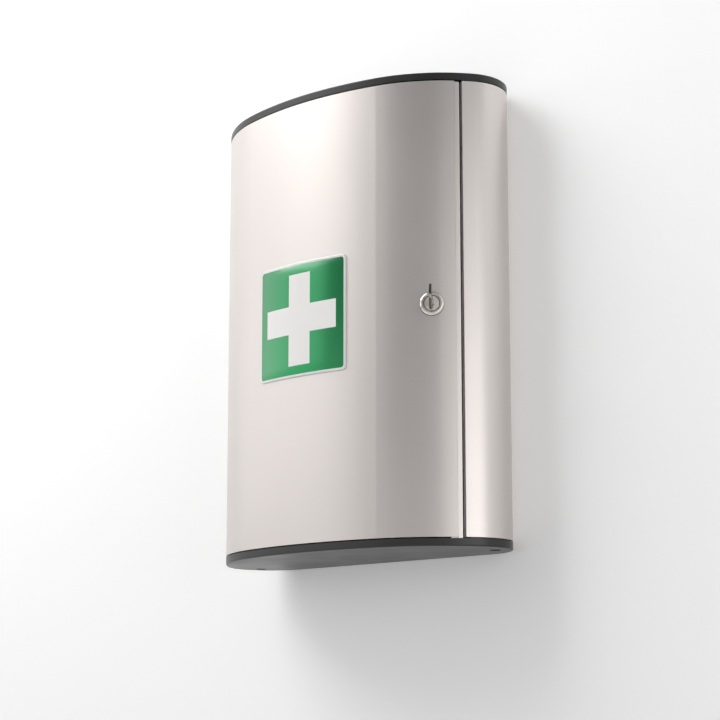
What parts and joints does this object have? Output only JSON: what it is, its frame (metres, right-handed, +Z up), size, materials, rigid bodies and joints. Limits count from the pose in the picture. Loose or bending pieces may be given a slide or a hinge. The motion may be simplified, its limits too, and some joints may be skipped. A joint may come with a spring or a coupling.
{
  "type": "first aid cabinet",
  "caption": "Wall-hung first aid cabinet with a curved aluminium door, dark end caps, a green and white cross sign and a cam lock with its key.",
  "frame": {"origin": "middle of the four wall screw holes, in the plane of the wall, at half the height", "axes": "+Z up, +X to the right of someone facing the door, +Y into the wall"},
  "size_m": [0.302, 0.1192, 0.4],
  "materials": {
    "anodised": "satin anodised",
    "strike": "mill",
    "caps": "moulded, fine texture",
    "rails": "moulded",
    "back": "powder coated",
    "shelves": "moulded",
    "screws": "zinc plated",
    "rivets": "plain",
    "bushes": "acetal",
    "seal": "matte",
    "sign": "printed under a clear dome",
    "rosette": "polished",
    "plug": "nickel plated, worn",
    "key": "nickel plated"
  },
  "bodies": {
    "cabinet": {"back_panel": "back", "left_side_profile": "anodised", "right_side_profile": "anodised", "top_cap": "caps", "bottom_cap": "caps", "cap_screws": "screws", "back_rivets": "rivets", "strike_strip": "strike", "strike_rivets": "rivets", "door_seal": "seal", "upper_shelf": "shelves", "lower_shelf": "shelves", "shelf_screws": "screws", "hinge_pins": "screws"},
    "door": {"door_panel": "anodised", "door_edge_strip": "anodised", "door_top_rail": "rails", "door_bottom_rail": "rails", "rail_screws": "screws", "hinge_bushes": "bushes", "sign_plate": "sign", "lock_gasket": "seal", "lock_barrel": "rosette", "lock_nut": "screws"},
    "lock_cylinder": {"lock_plug": "plug", "lock_wafers": "plug", "lock_cam": "screws", "cam_washer": "screws", "cam_screw": "screws"},
    "key": {"key": "key"}
  },
  "joints": [
    {"name": "door_hinge", "type": "hinge", "parent": "cabinet", "child": "door", "pos_m": [-0.12612, -0.07352, 0], "axis": [0, 0, -1], "range_deg": [0, 110]},
    {"name": "lock_turn", "type": "hinge", "parent": "door", "child": "lock_cylinder", "pos_m": [0.11714, -0.08829, 0], "axis": [-0.5929, 0.8053, 0], "range_deg": [0, 90]},
    {"name": "key_slide", "type": "slide", "parent": "lock_cylinder", "child": "key", "axis": [0.5929, -0.8053, 0], "range_m": [0, 0.045]}
  ]
}
